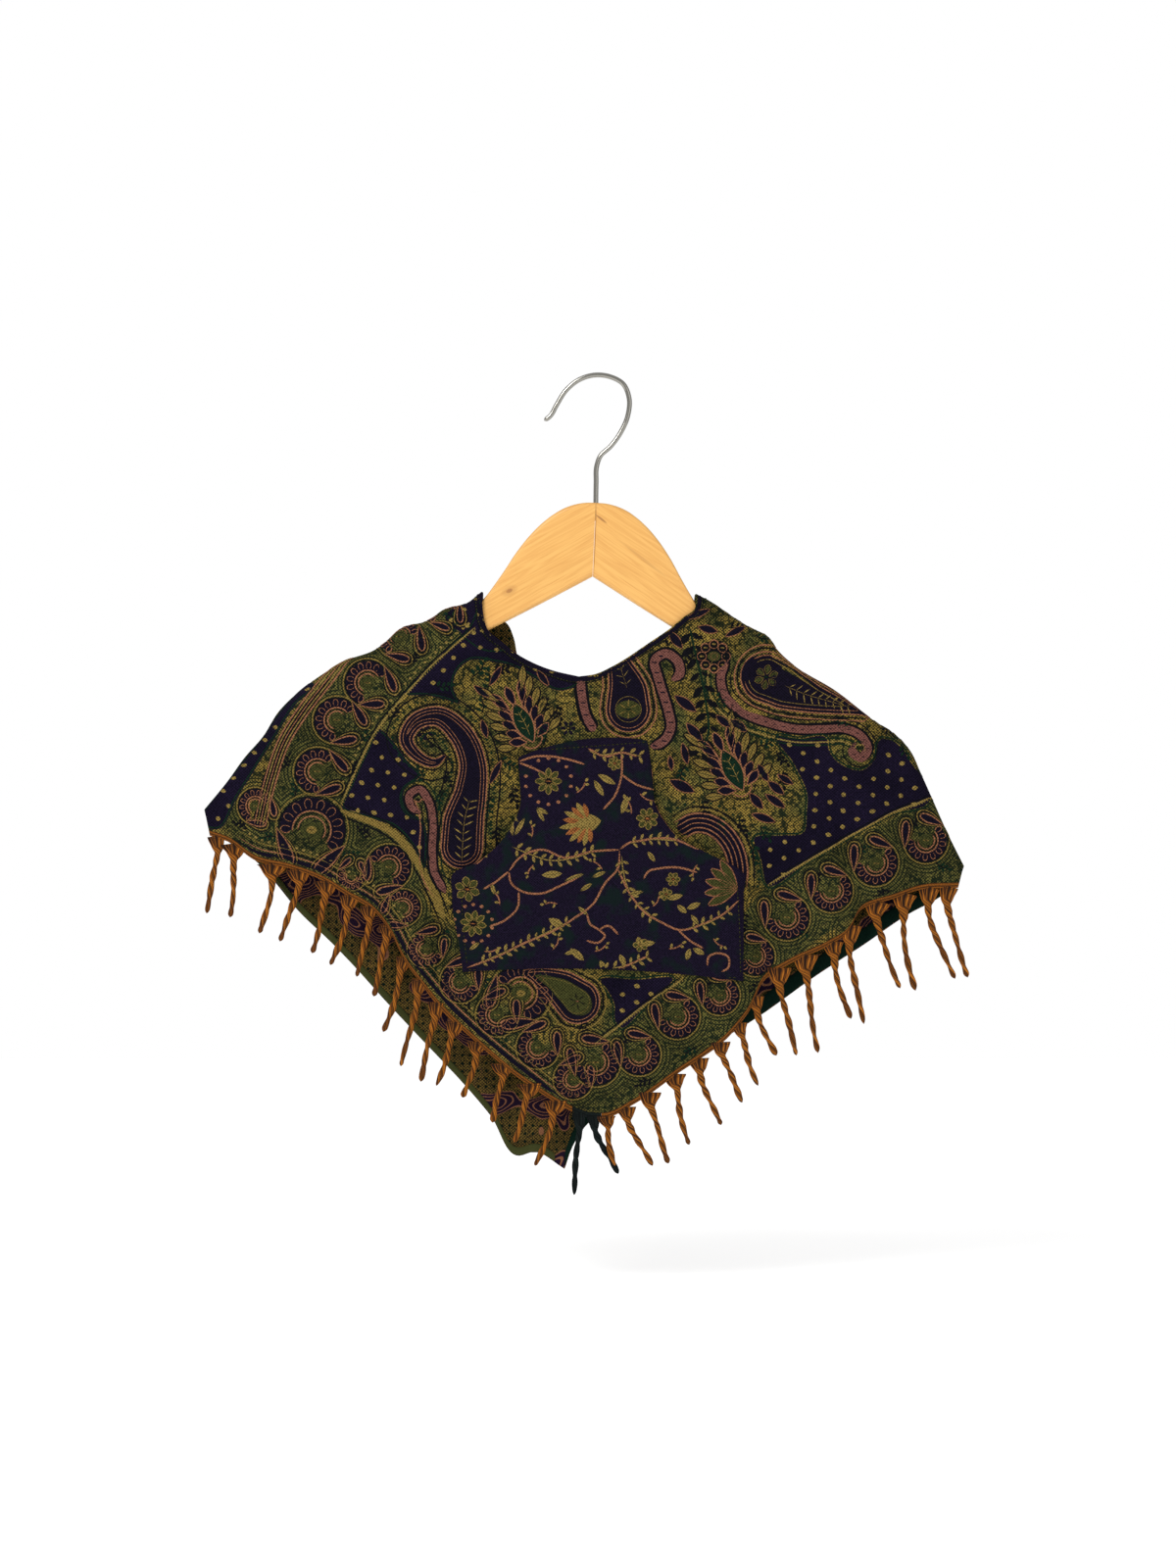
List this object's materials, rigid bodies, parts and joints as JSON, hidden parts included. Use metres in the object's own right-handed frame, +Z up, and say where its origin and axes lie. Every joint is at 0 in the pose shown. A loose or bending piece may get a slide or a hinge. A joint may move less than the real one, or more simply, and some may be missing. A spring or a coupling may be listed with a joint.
{
  "type": "fringed poncho on a wooden hanger",
  "caption": "Short pointed poncho in patterned cloth with a pouch pocket and a fringed front hem, hanging flat on a mitred wooden hanger with a wire hook.",
  "frame": {"origin": "underside of the hook's top bend, where a rail carries the hanger", "axes": "+Z up, +X to the right seen from the front, the pocket side faces -Y"},
  "size_m": [0.5869, 0.051, 0.6289],
  "materials": {
    "cloth": "matt jacquard weave, navy, olive gold and green",
    "pouch_cloth": "matt jacquard weave, dark purple with vines",
    "fringe": "soft twisted yarn, orange with brown streaks",
    "dark_fringe": "soft twisted yarn, nearly black",
    "olive_hem": "matt woven cloth",
    "green_tape": "matt woven tape",
    "pine": "satin varnish",
    "wire": "polished"
  },
  "bodies": {
    "root": {"front_panel": "cloth", "back_panel": "cloth", "front_pocket": "pouch_cloth", "fringe_left": "fringe", "fringe_right": "fringe", "fringe_tip": "dark_fringe", "back_hem_band_left": "olive_hem", "back_hem_band_right": "green_tape", "hanger_arm_left": "pine", "hanger_arm_right": "pine", "hanger_hook": "wire"}
  },
  "joints": []
}
